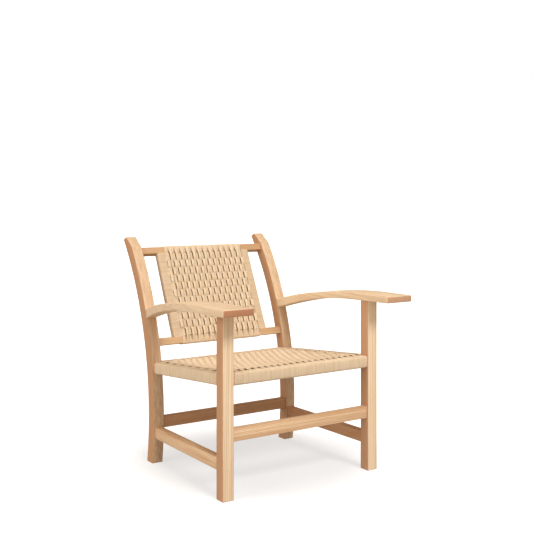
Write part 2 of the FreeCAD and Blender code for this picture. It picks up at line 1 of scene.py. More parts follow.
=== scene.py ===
import bmesh
import bpy
import math
import numpy as np
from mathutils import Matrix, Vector


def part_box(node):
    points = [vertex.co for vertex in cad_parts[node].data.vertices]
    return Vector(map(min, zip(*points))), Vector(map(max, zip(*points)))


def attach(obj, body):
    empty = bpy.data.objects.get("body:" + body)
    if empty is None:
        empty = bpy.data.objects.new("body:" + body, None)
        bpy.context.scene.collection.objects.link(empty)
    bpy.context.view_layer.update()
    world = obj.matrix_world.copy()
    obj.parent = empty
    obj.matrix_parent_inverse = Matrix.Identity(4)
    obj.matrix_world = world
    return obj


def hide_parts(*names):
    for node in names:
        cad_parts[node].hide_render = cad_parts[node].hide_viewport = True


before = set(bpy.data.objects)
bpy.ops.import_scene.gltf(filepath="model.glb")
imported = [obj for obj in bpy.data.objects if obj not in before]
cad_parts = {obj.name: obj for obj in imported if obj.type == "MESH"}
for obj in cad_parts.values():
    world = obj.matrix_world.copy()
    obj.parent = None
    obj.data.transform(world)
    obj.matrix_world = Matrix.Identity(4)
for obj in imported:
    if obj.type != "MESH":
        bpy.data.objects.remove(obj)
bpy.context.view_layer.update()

# The camera stands before the chair at the sitter's right-hand side, a little above the posts' tops, and
# looks level. The chair lies low in the picture, which is the lens shift. The picture is measured in pixels.
LEG_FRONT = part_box("front_leg_left")[0].y
PICTURE_WIDTH, PICTURE_HEIGHT = 534, 540
FOCAL_LENGTH = 909.56
HORIZON = 193.98
SENSOR = 36
CAMERA_X = -1.6665
CAMERA_Y = LEG_FRONT - 2.2699
CAMERA_Z = 0.9003
CAMERA_TURN = math.radians(-33.93)
view = bpy.data.cameras.new("view")
view.sensor_width = SENSOR
view.sensor_fit = "HORIZONTAL"
view.lens = FOCAL_LENGTH / PICTURE_WIDTH * SENSOR
view.shift_y = (HORIZON - PICTURE_HEIGHT / 2) / PICTURE_WIDTH
camera = bpy.data.objects.new("view", view)
camera.location = (CAMERA_X, CAMERA_Y, CAMERA_Z)
camera.rotation_euler = (math.radians(90), 0, CAMERA_TURN)
bpy.context.collection.objects.link(camera)
bpy.context.scene.camera = camera


# The front legs are straight squares of pale oak, sanded and clear-finished, with their edges just broken.
# Each is cut to the slope of the arm's underside. No piece has its tenons here, because they don't show.


class Value:
    """A socket, or the start of a tree, with arithmetic that adds Math nodes."""

    def __init__(self, tree, socket=None):
        self.tree = tree
        self.socket = socket

    def make(self, kind, settings=None, values=None, output=0):
        """A node of a kind, with its settings, and the values or links of its sockets."""
        node = self.tree.nodes.new("ShaderNode" + kind)
        for name, setting in (settings or {}).items():
            setattr(node, name, setting)
        for name, value in (values or {}).items():
            if isinstance(value, Value):
                self.tree.links.new(value.socket, node.inputs[name])
            else:
                node.inputs[name].default_value = value
        return Value(self.tree, node.outputs[output])

    def math(self, operation, *others):
        return self.make("Math", {"operation": operation}, dict(enumerate((self, *others))))

    def __add__(self, other):
        return self.math("ADD", other)

    def __radd__(self, other):
        return self.math("ADD", other)

    def __sub__(self, other):
        return self.math("SUBTRACT", other)

    def __rsub__(self, other):
        return self.make("Math", {"operation": "SUBTRACT"}, {0: other, 1: self})

    def __mul__(self, other):
        return self.math("MULTIPLY", other)

    def __truediv__(self, other):
        return self.math("DIVIDE", other)

    def between(self, low, high):
        """0 below low, 1 above high, smooth between."""
        return self.make("MapRange", {"interpolation_type": "SMOOTHSTEP"},
                         {"Value": self, "From Min": low, "From Max": high})


def colour(red, green, blue):
    """A colour as a screen shows it, from 0 to 255, as the shader takes it."""
    return (*(((part / 255 + 0.055) / 1.055) ** 2.4 for part in (red, green, blue)), 1)


def shade(name):
    """A new material, the start of its tree and its shader."""
    material = bpy.data.materials.new(name)
    material.use_nodes = True
    return material, Value(material.node_tree), material.node_tree.nodes["Principled BSDF"]


def blend(start, share, low, high):
    """A mix of two colours, with a share of the second."""
    return start.make("Mix", {"data_type": "RGBA"}, {0: share, 6: low, 7: high}, output=2)


def feed(shader, name, value):
    """Links a value to a socket of the shader."""
    shader.id_data.links.new(value.socket, shader.inputs[name])


# The turns that lay the log along each axis, its rings, and the colours of its wood
GRAIN = {"X": (0, math.radians(90), 0), "Y": (math.radians(90), 0, 0), "Z": (0, 0, 0)}
RING = 0.0042
RING_WANDER = 0.022
LIGHT_BANDS = colour(255, 232, 195), colour(250, 220, 180)
DARK_BANDS = colour(212, 166, 120), colour(194, 144, 98)
PORES = colour(160, 108, 68)
HEARTWOOD = colour(216, 156, 110)
SIDE_GRAIN = colour(196, 142, 101)
DARK_OAK = colour(196, 154, 110)
TAN_OAK = colour(196, 166, 136)
PALE_OAK = colour(255, 238, 208)
END_GRAIN = colour(186, 130, 94)


def oak(name, grain, heart, turn, share, other, cut=None):
    """Oak with its grain along an axis, and a share of another colour in it. Heart and turn say how the log
    lies, with a seed for each piece, so that no two show the same grain. Cut names two faces that differ:
    axis, two places, colour, share."""
    material, start, shader = shade(name)
    place = start.make("TexCoord", output="Object")
    log = start.make("Mapping", None, {"Vector": place, "Rotation": turn})
    log = start.make("Mapping", None, {"Vector": log, "Rotation": GRAIN[grain], "Location": heart})

    def noise(across, along, detail):
        """Noise with a number of waves to the metre, across and along the grain."""
        stretched = start.make("Mapping", None, {"Vector": log, "Scale": (across, across, along)})
        return start.make("TexNoise", None, {"Vector": stretched, "Scale": 1, "Detail": detail})

    across, deep = (start.make("SeparateXYZ", None, {0: log}, output=axis) for axis in "XY")
    radius = (across * across + deep * deep).math("SQRT") + noise(9, 1.3, 2) * RING_WANDER
    early = 1 - (radius / RING).math("FRACT").between(0.0, 0.6)
    streak = noise(130, 1.8, 2).between(0.35, 0.65)
    fibre = noise(700, 14, 3)
    pores = noise(1500, 70, 1).between(0.60, 0.70) * (early * 0.7 + 0.3)
    tone = noise(14, 2.2, 2).between(0.3, 0.7)
    light = blend(start, tone, *LIGHT_BANDS)
    dark = blend(start, tone, *DARK_BANDS)
    wood = blend(start, early * 0.44 + streak * 0.46 + fibre.between(0.35, 0.75) * 0.24, light, dark)
    wood = blend(start, pores * 0.5, wood, PORES)
    wood = blend(start, share, wood, other)
    if cut:
        axis, low, high, face, face_share = cut
        middle, half = (low + high) / 2, (high - low) / 2
        away = (start.make("SeparateXYZ", None, {0: place}, output=axis) - middle).math("ABSOLUTE")
        wood = blend(start, away.between(half - 0.0012, half - 0.0004) * face_share, wood, face)
    feed(shader, "Base Color", wood)
    feed(shader, "Roughness", 0.46 + fibre * 0.1)
    shader.inputs["Specular IOR Level"].default_value = 0.3
    feed(shader, "Normal", start.make("Bump", None, {
        "Strength": 0.25, "Distance": 0.0004, "Height": 0 - pores * 0.7 - fibre * 0.3}))
    return material


def blank(name, low, high, lean=0):
    """A squared blank between two corners, leaning back about its middle, in edit mode."""
    low, high = Vector(low), Vector(high)
    bpy.ops.object.select_all(action="DESELECT")
    bpy.ops.mesh.primitive_cube_add(size=1, location=(low + high) / 2, rotation=(-lean, 0, 0),
                                    scale=high - low)
    bpy.ops.object.transform_apply(location=True, rotation=True, scale=True)
    piece = bpy.context.object
    piece.name = name
    bpy.ops.object.mode_set(mode="EDIT")
    return piece


def saw(place, normal):
    """Cuts off what lies beyond a plane, on the side that its normal points to."""
    bpy.ops.mesh.select_all(action="SELECT")
    bpy.ops.mesh.bisect(plane_co=place, plane_no=normal, use_fill=True, clear_outer=True)


def choose(piece, test):
    """Selects the corners of a piece in edit mode whose places pass a test."""
    bpy.ops.mesh.select_all(action="DESELECT")
    mesh = bmesh.from_edit_mesh(piece.data)
    for corner in mesh.verts:
        corner.select = test(corner.co)
    mesh.select_flush(True)
    bmesh.update_edit_mesh(piece.data)


def finish_wood(piece, ease, material, node):
    """Breaks the edges of a piece in edit mode, smooths its faces and puts it in the node's place."""
    bpy.ops.mesh.select_all(action="SELECT")
    bpy.ops.mesh.remove_doubles(threshold=0.00001)
    bpy.ops.mesh.normals_make_consistent(inside=False)
    bpy.ops.object.mode_set(mode="OBJECT")
    edges = piece.modifiers.new("edges", "BEVEL")
    edges.width = ease
    edges.segments = 3
    edges.limit_method = "ANGLE"
    edges.angle_limit = math.radians(20)
    bpy.ops.object.modifier_apply(modifier="edges")
    bpy.ops.object.shade_smooth_by_angle(angle=math.radians(30))
    piece.data.materials.clear()
    piece.data.materials.append(material)
    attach(piece, "root")
    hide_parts(node)


ARM_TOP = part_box("arm_left")[1].z
ARM_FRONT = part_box("arm_left")[0].y
ARM_THICKNESS = 0.0207
ARM_UNDER_SLOPE = math.radians(1.12)
LEG_EDGE = 0.0020
for side, seed in (("left", 0.17), ("right", -0.41)):
    low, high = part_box("front_leg_" + side)
    piece = blank("front_leg_" + side + "_oak", low, (high.x, high.y, ARM_TOP))
    saw((0, ARM_FRONT, ARM_TOP - ARM_THICKNESS), (0, math.sin(ARM_UNDER_SLOPE), math.cos(ARM_UNDER_SLOPE)))
    heart = (0.14 + seed * 0.1, 0.11, seed)
    sides = ("X", low.x, high.x, SIDE_GRAIN, 0.8)
    wood = oak("oak_leg_" + side, "Z", heart, (0, 0, 0.4), 0.35, PALE_OAK, sides)
    finish_wood(piece, LEG_EDGE, wood, "front_leg_" + side)

# The rear posts are sawn from thick board to one long bow and planed square. Two bevels meet in a ridge at
# the top. They carry the arms, the rear rail of the seat and both rails of the back.
POST_BOW_RADIUS = 1.014
POST_DEPTH = 0.039
POST_BOW_Z = 0.150
POST_FOOT_Y = 0.4648 + LEG_FRONT
POST_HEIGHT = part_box("rear_post_left")[1].z
POST_FRONT_DROP = 0.032
POST_REAR_DROP = 0.010
POST_RIDGE_INSET = 0.026
BOW_Y = POST_FOOT_Y + math.sqrt(POST_BOW_RADIUS ** 2 - POST_BOW_Z ** 2)
BELOW_FLOOR = math.radians(9.5)
BOW_TURN = math.radians(48)
BOW_STEPS = 48


def post_front(z):
    """The post's front face at a height."""
    return BOW_Y - math.sqrt(POST_BOW_RADIUS ** 2 - (z - POST_BOW_Z) ** 2)


def post_rear(z):
    """The post's rear face at a height."""
    return BOW_Y - math.sqrt((POST_BOW_RADIUS - POST_DEPTH) ** 2 - (z - POST_BOW_Z) ** 2)


for side, seed in (("left", 0.31), ("right", -0.22)):
    low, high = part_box("rear_post_" + side)
    centre = ((low.x + high.x) / 2, BOW_Y, POST_BOW_Z)
    bpy.ops.object.select_all(action="DESELECT")
    bpy.ops.mesh.primitive_plane_add(size=1, location=centre)
    bpy.ops.object.transform_apply(location=True, rotation=True, scale=True)
    piece = bpy.context.object
    piece.name = "rear_post_" + side + "_oak"
    bpy.ops.object.mode_set(mode="EDIT")
    bpy.ops.mesh.select_all(action="SELECT")
    bpy.ops.transform.resize(value=(high.x - low.x, POST_DEPTH, 1), center_override=centre)
    bpy.ops.transform.translate(value=(0, POST_DEPTH / 2 - POST_BOW_RADIUS, 0))
    bpy.ops.transform.rotate(value=-BELOW_FLOOR, orient_axis="X", center_override=centre)
    bpy.ops.mesh.spin(steps=BOW_STEPS, angle=BOW_TURN, center=centre, axis=(1, 0, 0))
    saw((0, 0, 0), (0, 0, -1))
    front_z, rear_z = POST_HEIGHT - POST_FRONT_DROP, POST_HEIGHT - POST_REAR_DROP
    front_y, rear_y = post_front(front_z), post_rear(rear_z)
    ridge_y = post_rear(POST_HEIGHT) - POST_RIDGE_INSET
    saw((0, front_y, front_z), (0, front_z - POST_HEIGHT, ridge_y - front_y))
    saw((0, rear_y, rear_z), (0, POST_HEIGHT - rear_z, rear_y - ridge_y))
    heart = (0.09 + seed * 0.1, -0.16 + seed * 0.2, seed)
    sides = ("X", low.x, high.x, SIDE_GRAIN, 0.75)
    wood = oak("oak_post_" + side, "Z", heart, (math.radians(18), 0, 0), 0.42, TAN_OAK, sides)
    finish_wood(piece, LEG_EDGE, wood, "rear_post_" + side)

# Four straight oak stretchers stand on edge between the legs and posts and are tenoned into them. The side
# ones are thicker, lie lower and follow the frame's slight taper to the rear.
RAIL_EDGE = 0.0016
TENON = Vector((0.020, 0, 0))
# The rear stretcher, in shade under the seat, takes a larger share of the redder colour: painted shade
# besides its own tone.
for name, seed, share in (("front_stretcher", 0.2, 0.2), ("rear_stretcher", -0.5, 0.65)):
    low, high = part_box(name)
    piece = blank(name + "_oak", low + TENON, high - TENON)
    wood = oak("oak_" + name, "X", (0.10, 0.14, seed), (0.3, 0, 0), share, SIDE_GRAIN)
    finish_wood(piece, RAIL_EDGE, wood, name)

SIDE_STRETCHER_THICKNESS = 0.0275
SIDE_STRETCHER_INSET = 0.0046
NEARLY = 0.001
LEG_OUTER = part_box("front_leg_left")[1].x
LEG_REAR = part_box("front_leg_left")[1].y
POST_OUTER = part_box("rear_post_left")[1].x
TAPER = (LEG_OUTER - POST_OUTER) / (POST_FOOT_Y - LEG_FRONT)
# The left side stretcher, whose inner face is seen in the seat's shade, takes a far larger share of the
# redder colour than the right: painted shade besides its own tone.
for side, sign, seed, share in (("left", 1, 0.33, 0.85), ("right", -1, -0.14, 0.2)):
    low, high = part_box("side_stretcher_" + side)
    rear = post_front(high.z)
    outer = LEG_OUTER - SIDE_STRETCHER_INSET - TAPER * (LEG_REAR - LEG_FRONT)
    faces = sorted((sign * outer, sign * (outer - SIDE_STRETCHER_THICKNESS)))
    piece = blank("side_stretcher_" + side + "_oak", (faces[0], LEG_REAR, low.z), (faces[1], rear, high.z))
    choose(piece, lambda corner: corner.y > rear - NEARLY)
    bpy.ops.transform.translate(value=(-sign * TAPER * (rear - LEG_REAR), 0, 0))
    heart = (0.12, -0.12 + seed, seed)
    wood = oak("oak_side_stretcher_" + side, "Y", heart, (0, 0.4, 0), share, SIDE_GRAIN)
    finish_wood(piece, RAIL_EDGE, wood, "side_stretcher_" + side)

# Four oak rails carry the seat, two oak stiles the back's sides. Cord hides all of them, and they keep the
# frame's own solids, as the dowels between arms and posts do.
hidden_oak = oak("oak_hidden", "X", (0.1, 0.1, 0.1), (0, 0, 0), 0.3, HEARTWOOD)
for name in ("seat_front_rail", "seat_rear_rail", "seat_side_rail_left", "seat_side_rail_right",
             "back_stile_left", "back_stile_right", "arm_dowels"):
    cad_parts[name].data.materials.clear()
    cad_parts[name].data.materials.append(hidden_oak)

# The arms are wide planks of oak, straight inside and flared outside. They lie flat on the legs, arch down
# to the posts' front faces and are dowelled to them. Their front ends show darker end grain.
ARM_ARCH_Y = 0.015 + LEG_FRONT
ARM_TOP_RADIUS = 1.980
ARM_UNDER_ARCH_Y = 0.065 + LEG_FRONT
ARM_UNDER_RADIUS = 1.620
ARM_STEPS = 44
ARM_EDGE = 0.0028
MEET_ROUNDS = 12
PAST_POST = 0.004


def straight_under(y):
    """The height of the arm's straight underside, before its arch."""
    return ARM_TOP - ARM_THICKNESS - math.tan(ARM_UNDER_SLOPE) * (y - ARM_FRONT)


def arm_over(y):
    """The height of the arm's upper face."""
    if y < ARM_ARCH_Y:
        return ARM_TOP
    return ARM_TOP - ARM_TOP_RADIUS + math.sqrt(ARM_TOP_RADIUS ** 2 - (y - ARM_ARCH_Y) ** 2)


def arm_under(y):
    """The height of the arm's lower face."""
    if y < ARM_UNDER_ARCH_Y:
        return straight_under(y)
    middle_y = ARM_UNDER_ARCH_Y - ARM_UNDER_RADIUS * math.sin(ARM_UNDER_SLOPE)
    middle_z = straight_under(ARM_UNDER_ARCH_Y) - ARM_UNDER_RADIUS * math.cos(ARM_UNDER_SLOPE)
    return middle_z + math.sqrt(ARM_UNDER_RADIUS ** 2 - (y - middle_y) ** 2)


def meet_post(height):
    """Where a face of the arm meets the post's front face, found from below the arm in a few rounds."""
    y = post_front(ARM_TOP - 4 * ARM_THICKNESS)
    for _ in range(MEET_ROUNDS):
        y = post_front(height(y))
    return y


# The outside is an arc from the arm's full width down to the post's outer face.
arm_low, arm_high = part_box("arm_left")
FLARE = arm_high.x - POST_OUTER
FLARE_LENGTH = post_front(ARM_TOP - 4 * ARM_THICKNESS) - LEG_FRONT
FLARE_RADIUS = (FLARE_LENGTH ** 2 + FLARE ** 2) / (2 * FLARE)


def arm_outside(y):
    """How far the left arm's outer edge lies from the middle."""
    if y < LEG_FRONT:
        return arm_high.x
    return arm_high.x - FLARE_RADIUS + math.sqrt(FLARE_RADIUS ** 2 - (y - LEG_FRONT) ** 2)


def arm_section(y, sign):
    """Middle, width and thickness of the arm's cross-section."""
    inside, outside = sign * arm_low.x, sign * arm_outside(y)
    over, under = arm_over(y), arm_under(y)
    return Vector(((inside + outside) / 2, y, (over + under) / 2)), abs(outside - inside), over - under


# Each arm is made a little too long and sawn off where it meets the post.
over_y, under_y = meet_post(arm_over), meet_post(arm_under)
arm_end = max(over_y, under_y) + PAST_POST
for side, sign, seed, share, end_share in (("left", 1, 0.12, 0.35, 0.7), ("right", -1, 0.57, 0.4, 0.95)):
    middle, width, thick = arm_section(ARM_FRONT, sign)
    step = (arm_end - ARM_FRONT) / ARM_STEPS
    half = Vector((width, 0, thick)) / 2
    piece = blank("arm_" + side + "_oak", middle - half, middle + half + Vector((0, step, 0)))
    choose(piece, lambda corner: corner.y > ARM_FRONT + step / 2)
    for count in range(2, ARM_STEPS + 1):
        before = (middle, width, thick)
        middle, width, thick = arm_section(ARM_FRONT + count * step, sign)
        bpy.ops.mesh.extrude_region_move(TRANSFORM_OT_translate={
            "value": middle - before[0] - Vector((0, step if count == 2 else 0, 0))})
        bpy.ops.transform.resize(value=(width / before[1], 1, thick / before[2]), center_override=middle)
    saw((0, over_y, arm_over(over_y)), (0, arm_over(over_y) - arm_under(under_y), under_y - over_y))
    heart = (-sign * 0.62, -0.10 - seed * 0.1, seed)
    turn = (math.radians(-3), 0, math.radians(2) * sign)
    front_end = ("Y", ARM_FRONT, -ARM_FRONT, END_GRAIN, end_share)
    wood = oak("oak_arm_" + side, "Y", heart, turn, share, PALE_OAK, front_end)
    finish_wood(piece, ARM_EDGE, wood, "arm_" + side)

# Two square oak rails lie between the posts and carry the back. Their ends are bare and tenoned into the
# posts, each rail leaning as the posts do where it meets them.
BACK_RAIL = 0.025
BACK_LEAN = {"back_bottom_rail": math.radians(14.7), "back_top_rail": math.radians(26.5)}
POST_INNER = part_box("rear_post_left")[0].x


def rail_axes(name):
    """The middle of a back rail, and its directions towards its top and its front."""
    low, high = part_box(name)
    lean = BACK_LEAN[name]
    up = np.array([0, math.sin(lean), math.cos(lean)])
    forward = np.array([0, -math.cos(lean), math.sin(lean)])
    return np.array([0, (low.y + high.y) / 2, (low.z + high.z) / 2]), up, forward


for name, seed, share in (("back_bottom_rail", 0.4, 0.6), ("back_top_rail", -0.3, 0.85)):
    middle = Vector(rail_axes(name)[0])
    half = Vector((POST_INNER * 2, BACK_RAIL, BACK_RAIL)) / 2
    piece = blank(name + "_oak", middle - half, middle + half, BACK_LEAN[name])
    wood = oak("oak_" + name, "X", (0.1, 0.15, seed), (0.5, 0, 0), share, DARK_OAK)
    finish_wood(piece, RAIL_EDGE, wood, name)

# The seat is woven from pale twisted paper cord, about 3 mm thick. Each warp is one cord: round the front
# rail, over and under the rows of weft, and round the rear rail. Each weft runs so between the side rails.
CORD_RADIUS = 0.00146
CORD_TWIST = 0.0085
PAPER = colour(248, 232, 205), colour(238, 216, 184)
DARKER_PAPER = colour(226, 198, 160)
PLY_GROOVE_SHADE = colour(182, 142, 100)
DEEP_SHADE = colour(76, 44, 22)
jitter = np.random.default_rng(5)


def cord_material():
    """Paper cord of twisted plies. Its map gives the length along each cord, and the cord's number plus the
    share of the way round it. An attribute gives painted shade where the cord runs down between and under its
    neighbours."""
    material, start, shader = shade("paper_cord")
    run = start.make("UVMap", {"uv_map": "run"})
    along, around = (start.make("SeparateXYZ", None, {0: run}, output=axis) for axis in "XY")
    painted_shade = start.make("Attribute", {"attribute_name": "painted_shade"}, output="Fac")
    which = around.math("FLOOR")
    each = start.make("TexWhiteNoise", {"noise_dimensions": "1D"}, {"W": which})
    ply = ((along / CORD_TWIST + around * 3 + each * 5) * math.pi).math("SINE").math("ABSOLUTE")
    spot = start.make("CombineXYZ", None, {"X": along * 16, "Y": which * 7.31})
    tone = start.make("TexNoise", None, {"Vector": spot, "Scale": 1, "Detail": 2}).between(0.3, 0.7)
    place = start.make("TexCoord", output="Object")
    fuzz = start.make("TexNoise", None, {"Vector": place, "Scale": 1600})
    paper = blend(start, tone, *PAPER)
    paper = blend(start, each * 0.4, paper, DARKER_PAPER)
    # Painted shade in the grooves between the plies, besides their bump.
    paper = blend(start, (1 - ply.between(0.0, 0.6)) * 0.3, paper, PLY_GROOVE_SHADE)
    # Painted shade: the cord turns dark brown where it runs down under its neighbours.
    paper = blend(start, painted_shade * 0.9, paper, DEEP_SHADE)
    feed(shader, "Base Color", paper)
    feed(shader, "Roughness", 0.66 + fuzz * 0.15)
    shader.inputs["Specular IOR Level"].default_value = 0.1
    feed(shader, "Normal", start.make("Bump", None, {
        "Strength": 0.5, "Distance": 0.0003, "Height": ply.between(0.0, 0.8) + fuzz * 0.2}))
    return material


paper_cord = cord_material()

# A cord's outside, which takes the painted shade seen from outside, starts a little below its middle. Its way
# round stays just under the next cord's number.
SIDES = 6
AROUND = np.arange(SIDES) * 2 * math.pi / SIDES
OUTSIDE_FROM = -0.1
UNDER_ONE = 0.999


def tube(run, aside, radius):
    """The corners of a tube round a run of points, ring by ring. Aside is a direction across the run."""
    ahead = np.gradient(run, axis=0)
    ahead /= np.linalg.norm(ahead, axis=1)[:, None]
    out = np.cross(aside, ahead)
    out /= np.linalg.norm(out, axis=1)[:, None]
    across = np.cross(ahead, out)
    return run[:, None] + radius * (np.cos(AROUND)[None, :, None] * across[:, None]
                                    + np.sin(AROUND)[None, :, None] * out[:, None])


def cord_mesh(name, points, corners, sizes, maps, painted_shades):
    """A mesh from its points, the corners and sizes of its faces, its map and the painted shade at each
    point.
    """
    starts = np.concatenate([[0], np.cumsum(sizes)[:-1]])
    mesh = bpy.data.meshes.new(name)
    mesh.vertices.add(len(points))
    mesh.vertices.foreach_set("co", points.astype(np.float32).reshape(-1))
    mesh.loops.add(len(corners))
    mesh.loops.foreach_set("vertex_index", corners.astype(np.int32))
    mesh.polygons.add(len(sizes))
    mesh.polygons.foreach_set("loop_start", starts.astype(np.int32))
    mesh.polygons.foreach_set("use_smooth", np.ones(len(sizes), bool))
    way = mesh.uv_layers.new(name="run")
    way.data.foreach_set("uv", maps.astype(np.float32).reshape(-1))
    deep = mesh.attributes.new("painted_shade", "FLOAT", "POINT")
    deep.data.foreach_set("value", painted_shades.astype(np.float32))
    mesh.update()
    mesh.validate()
    return mesh


def cords(name, runs, aside, nodes, radius=CORD_RADIUS):
    """One piece made of many cords. A run is its points and the painted shade on each, seen from outside and
    from inside. Aside is a direction across all runs."""
    points, corners, sizes, maps, painted_shades = [], [], [], [], []
    base = 0
    for count, (run, painted_shade) in enumerate(runs):
        points.append(tube(run, aside, radius).reshape(-1, 3))
        painted_shades.append(np.where(np.sin(AROUND) > OUTSIDE_FROM, painted_shade[:, :1], painted_shade[:, 1:]).reshape(-1))
        lengths = np.concatenate([[0], np.cumsum(np.linalg.norm(np.diff(run, axis=0), axis=1))])
        rows, cells = np.meshgrid(np.arange(len(run) - 1), np.arange(SIDES), indexing="ij")
        after = (cells + 1) % SIDES
        faces = np.stack([rows * SIDES + cells, (rows + 1) * SIDES + cells,
                          (rows + 1) * SIDES + after, rows * SIDES + after], -1).reshape(-1, 4) + base
        along = np.stack([lengths[rows], lengths[rows + 1], lengths[rows + 1], lengths[rows]], -1)
        around = np.stack([cells, cells, cells + 1, cells + 1], -1) / SIDES * UNDER_ONE + count
        corners.append(faces.reshape(-1))
        maps.append(np.stack([along.reshape(-1), around.reshape(-1)], -1))
        sizes.append(np.full(len(faces), 4))
        last = (len(run) - 1) * SIDES
        corners.append(np.concatenate([np.arange(SIDES), np.arange(SIDES)[::-1] + last]) + base)
        maps.append(np.tile([[0, count + 0.5]], (2 * SIDES, 1)))
        sizes.append(np.full(2, SIDES))
        base += len(run) * SIDES
    mesh = cord_mesh(name, *(np.concatenate(part) for part in (points, corners, sizes, maps, painted_shades)))
    piece = bpy.data.objects.new(name, mesh)
    bpy.context.collection.objects.link(piece)
    piece.data.materials.append(paper_cord)
    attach(piece, "root")
    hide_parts(*nodes)
    print(name, len(runs), "cords", len(mesh.vertices) * 2, "triangles")


def rail_turn(half_in, half_up, corner):
    """The way of a cord round a rail, as (in, up) from its middle: from the inner face down, under, up
    the outer face and over the top."""
    way = [(half_in, half_up * 0.5), (half_in, 0)]
    for middle_in, middle_up, begin in ((half_in - corner, corner - half_up, 0),
                                        (corner - half_in, corner - half_up, -90),
                                        (corner - half_in, half_up - corner, -180)):
        for step in (0, 30, 60, 90):
            angle = math.radians(begin - step)
            way.append((middle_in + corner * math.cos(angle), middle_up + corner * math.sin(angle)))
    return np.array(way)


def whole_cord(before, weave, after, shade_paint):
    """A cord through the weave, with its ways round both rails. Its last argument gives the painted shade on
    it in the weave.
    """
    plain = np.zeros((len(before), 2))
    return np.concatenate([before, weave, after]), np.concatenate([plain, shade_paint, plain])


def smooth(share):
    """0 below 0, 1 above 1, smooth between."""
    share = np.clip(share, 0, 1)
    return share * share * (3 - 2 * share)


# Beyond the first and the last cell there is no turn, as if the next one were far away.
FAR = 9


def over_under(cell, first, turn, lean, cells):
    """1 on top and -1 below, at a place counted in cells. A turn is spread over a share of a cell on both
    sides of its middle, which leans by a share of a cell into the cell on top."""
    cell = np.clip(cell, 0, cells - 1e-6)
    index = np.floor(cell)
    behind = np.where(index > 0, cell - index, FAR)
    ahead = np.where(index < cells - 1, index + 1 - cell, FAR)
    sign = first * np.where(index % 2 == 0, 1, -1)
    inward = sign * np.minimum(behind, ahead)
    return 2 * smooth((inward - lean + turn) / (2 * turn)) - 1


def level(wave, over, under):
    """A height from a wave: over where it is 1, and under, a negative height, where it is -1."""
    return (over - under) / 2 * wave + (over + under) / 2


def painted_shade_share(wave, share=1):
    """The share of painted shade on a cord where it runs under crossing cords, seen from outside and from
    inside.
    """
    return smooth((0.35 - np.stack([wave, -wave], -1)) / 0.9) * share


def stations(edges, steps):
    """Places along a cord: both ends, and some steps to both sides of each edge between them."""
    places = [edges[0], edges[-1]]
    for low, high in zip(edges[:-1], edges[1:]):
        for step in steps:
            places += [low + step, high - step]
    return np.unique(np.round(places, 6))


# From the flat of a rail to the first row, a cord that goes on top climbs, and one that goes below follows
# the rail's rounded corner down and leaves a small hole, darkened with painted shade. Each point there has a
# step in from the flat, a height, and a share of painted shade.
STEP_IN = np.array([0, 0.003, 0.0055, 0.008, 0.011])
RISE_IN = np.array([0, 0.0002, 0.0006, 0.0009, 0.0010])
DIP_IN = np.array([0, -0.0004, -0.0012, -0.0020, -0.0020])
WAY_IN = len(STEP_IN)
EDGE_DIP, INNER_DIP = 0.7, 1.5
PAINTED_SHADE_IN = {1: np.zeros(WAY_IN), -1: np.array([0, 0.35, 1, 1, 1])}
EDGE_PAINTED_SHADE = 0.7
CROSSING_SHADE = 0.3


def way_in(first, at_edge):
    """Heights of a cord's first points. At the edge of its group it sinks less, so that no gap opens."""
    if first > 0:
        return RISE_IN
    return DIP_IN * (EDGE_DIP if at_edge else INNER_DIP)


RAIL_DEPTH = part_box("seat_front_wrap")[1].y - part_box("seat_front_wrap")[0].y
RAIL_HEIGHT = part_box("seat_front_wrap")[1].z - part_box("seat_front_wrap")[0].z
RAIL_CORNER = 0.008
SEAT_UNITS = 41
SEAT_UNIT_CORDS = 4
SEAT_ROWS = 16
SEAT_ROW_CORDS = 9
SEAT_SAG = 0.0165
SAG_HALF = 0.256
HOLE = 0.0085
# Heights from the weave's middle, the pitches of cords drawn together, and the bulge of a group on top
WARP_OVER, WARP_UNDER = 0.0021, -0.0016
WEFT_OVER, WEFT_UNDER = 0.0010, -0.0016
WARP_TIGHT, WEFT_TIGHT = 0.0021, 0.0028
WARP_DOME = 0.0009
# Half the length of a turn from over to under, and how far it leans into the cell on top
TURN, LEAN = 0.0018, 0.0007
WARP_STEPS = [0.0011, 0.0028, 0.0090]
WEFT_STEPS = [0.0004, 0.0022]
# Cords go from their pitch on the rail to their pitch in the weave over a length that starts on the rail
WARP_SETTLE, WEFT_SETTLE = 0.012, 0.018
ON_RAIL = 0.006
WARP_JITTER, WEFT_JITTER = 0.00008, 0.00006
# The lift of the first row's first cord, the cord that has none, and the cords that carry painted shade
FRONT_LIFT = 0.0028
FRONT_LIFTED = 4
FRONT_SHADED = 3
front_low, front_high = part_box("seat_front_wrap")
rear_low, rear_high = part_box("seat_rear_wrap")
side_low, side_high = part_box("seat_side_wrap_left")
FRONT_MIDDLE = (front_low + front_high) / 2
REAR_MIDDLE = (rear_low + rear_high) / 2
ROWS_FROM = front_high.y + HOLE
ROWS_TO = rear_low.y - HOLE
ROW_PITCH = (ROWS_TO - ROWS_FROM) / SEAT_ROWS
half_in, half_up = RAIL_DEPTH / 2 - CORD_RADIUS, RAIL_HEIGHT / 2 - CORD_RADIUS
seat_turn = rail_turn(half_in, half_up, RAIL_CORNER - CORD_RADIUS)
TOP_IN = half_in - RAIL_CORNER + CORD_RADIUS


def seat_top(y):
    """The cord's centre line on top of the rails, at a place from front to rear."""
    share = (y - FRONT_MIDDLE.y) / (REAR_MIDDLE.y - FRONT_MIDDLE.y)
    return front_high.z + (rear_high.z - front_high.z) * share - CORD_RADIUS


def round_rail(x, y, z, inward):
    """The way of a cord round a seat rail, whose middle is given. Inward points from there to the seat."""
    return np.array([x, y, z]) + seat_turn[:, :1] * np.array(inward) + seat_turn[:, 1:] * np.array([0, 0, 1])


